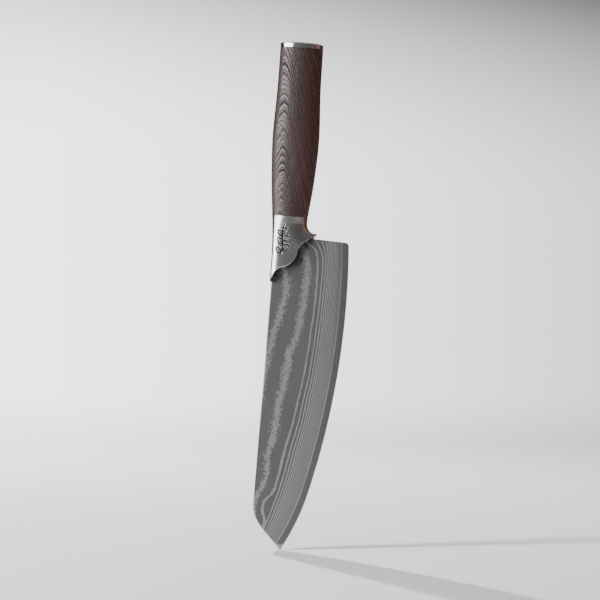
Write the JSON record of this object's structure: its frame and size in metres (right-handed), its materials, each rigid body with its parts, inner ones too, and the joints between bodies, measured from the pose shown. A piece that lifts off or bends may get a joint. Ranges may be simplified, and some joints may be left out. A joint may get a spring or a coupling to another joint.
{
  "type": "chef knife",
  "caption": "Clip-point chef knife with a laminated patterned blade, a wave-fronted steel bolster with a finger guard, an oval wood handle and a low domed end cap.",
  "frame": {"origin": "middle of the wooden grip, on the grip's axis", "axes": "+Z along the spine from the tip to the butt, +X from the spine to the cutting edge, -Y out of the left face of the blade"},
  "size_m": [0.0592, 0.022, 0.3311],
  "materials": {
    "core_steel": "fine satin, plain grey strip along the edge",
    "pattern_steel": "etched pattern-welded layers, light nickel-rich lines on matt grey",
    "bolster_steel": "satin ground, soft reflections",
    "dark_wood": "dark open-grained wood with pale and near-black lines, oiled to a low sheen",
    "cap_steel": "polished",
    "fastener_steel": "plain machined",
    "epoxy": "cast, unpolished"
  },
  "bodies": {
    "root": {"blade_core": "core_steel", "cladding_left": "pattern_steel", "cladding_right": "pattern_steel", "bolster": "bolster_steel", "handle": "dark_wood", "end_cap": "cap_steel", "tang_rod": "fastener_steel", "rod_rivet": "fastener_steel", "handle_dowels": "fastener_steel", "tang_bedding": "epoxy", "butt_washer": "fastener_steel", "butt_nut": "fastener_steel", "cap_pins": "fastener_steel"}
  },
  "joints": []
}
